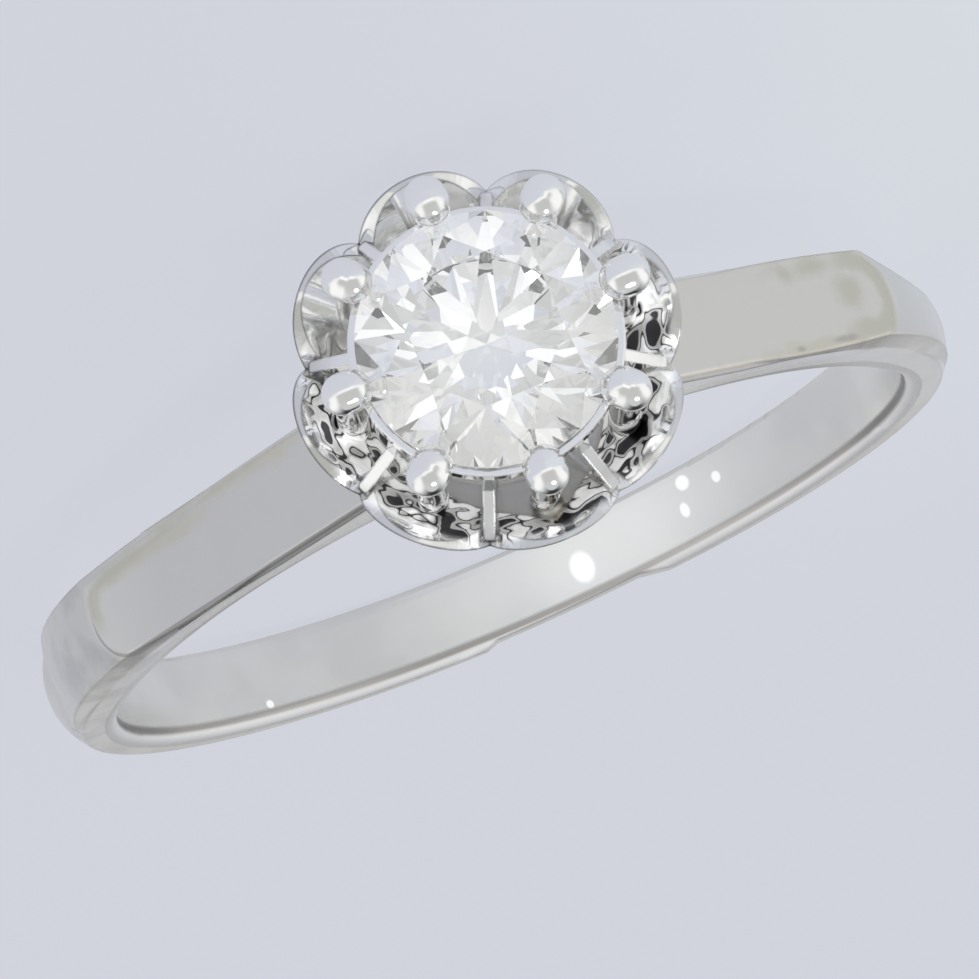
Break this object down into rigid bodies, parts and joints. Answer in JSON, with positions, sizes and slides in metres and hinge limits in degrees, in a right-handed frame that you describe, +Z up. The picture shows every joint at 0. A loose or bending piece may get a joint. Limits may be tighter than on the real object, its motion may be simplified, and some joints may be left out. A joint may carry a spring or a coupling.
{
  "type": "diamond solitaire ring",
  "caption": "White gold finger ring: round brilliant stone held by claws in a flower-shaped cup, on a half-round band with flat faceted shoulders.",
  "frame": {"origin": "middle of the finger hole, on its axis", "axes": "the ring lies on its side as it rests: +Z up, about 6 degrees off the finger hole's axis; -Y the way the stone faces; X across the band"},
  "size_m": [0.0186, 0.0243, 0.0064],
  "materials": {
    "white_gold": "polished white gold, worn, with a faint yellow tint on the shoulders",
    "diamond": "clear, cut and polished"
  },
  "bodies": {
    "root": {"mounting": "white_gold", "diamond": "diamond"}
  },
  "joints": []
}
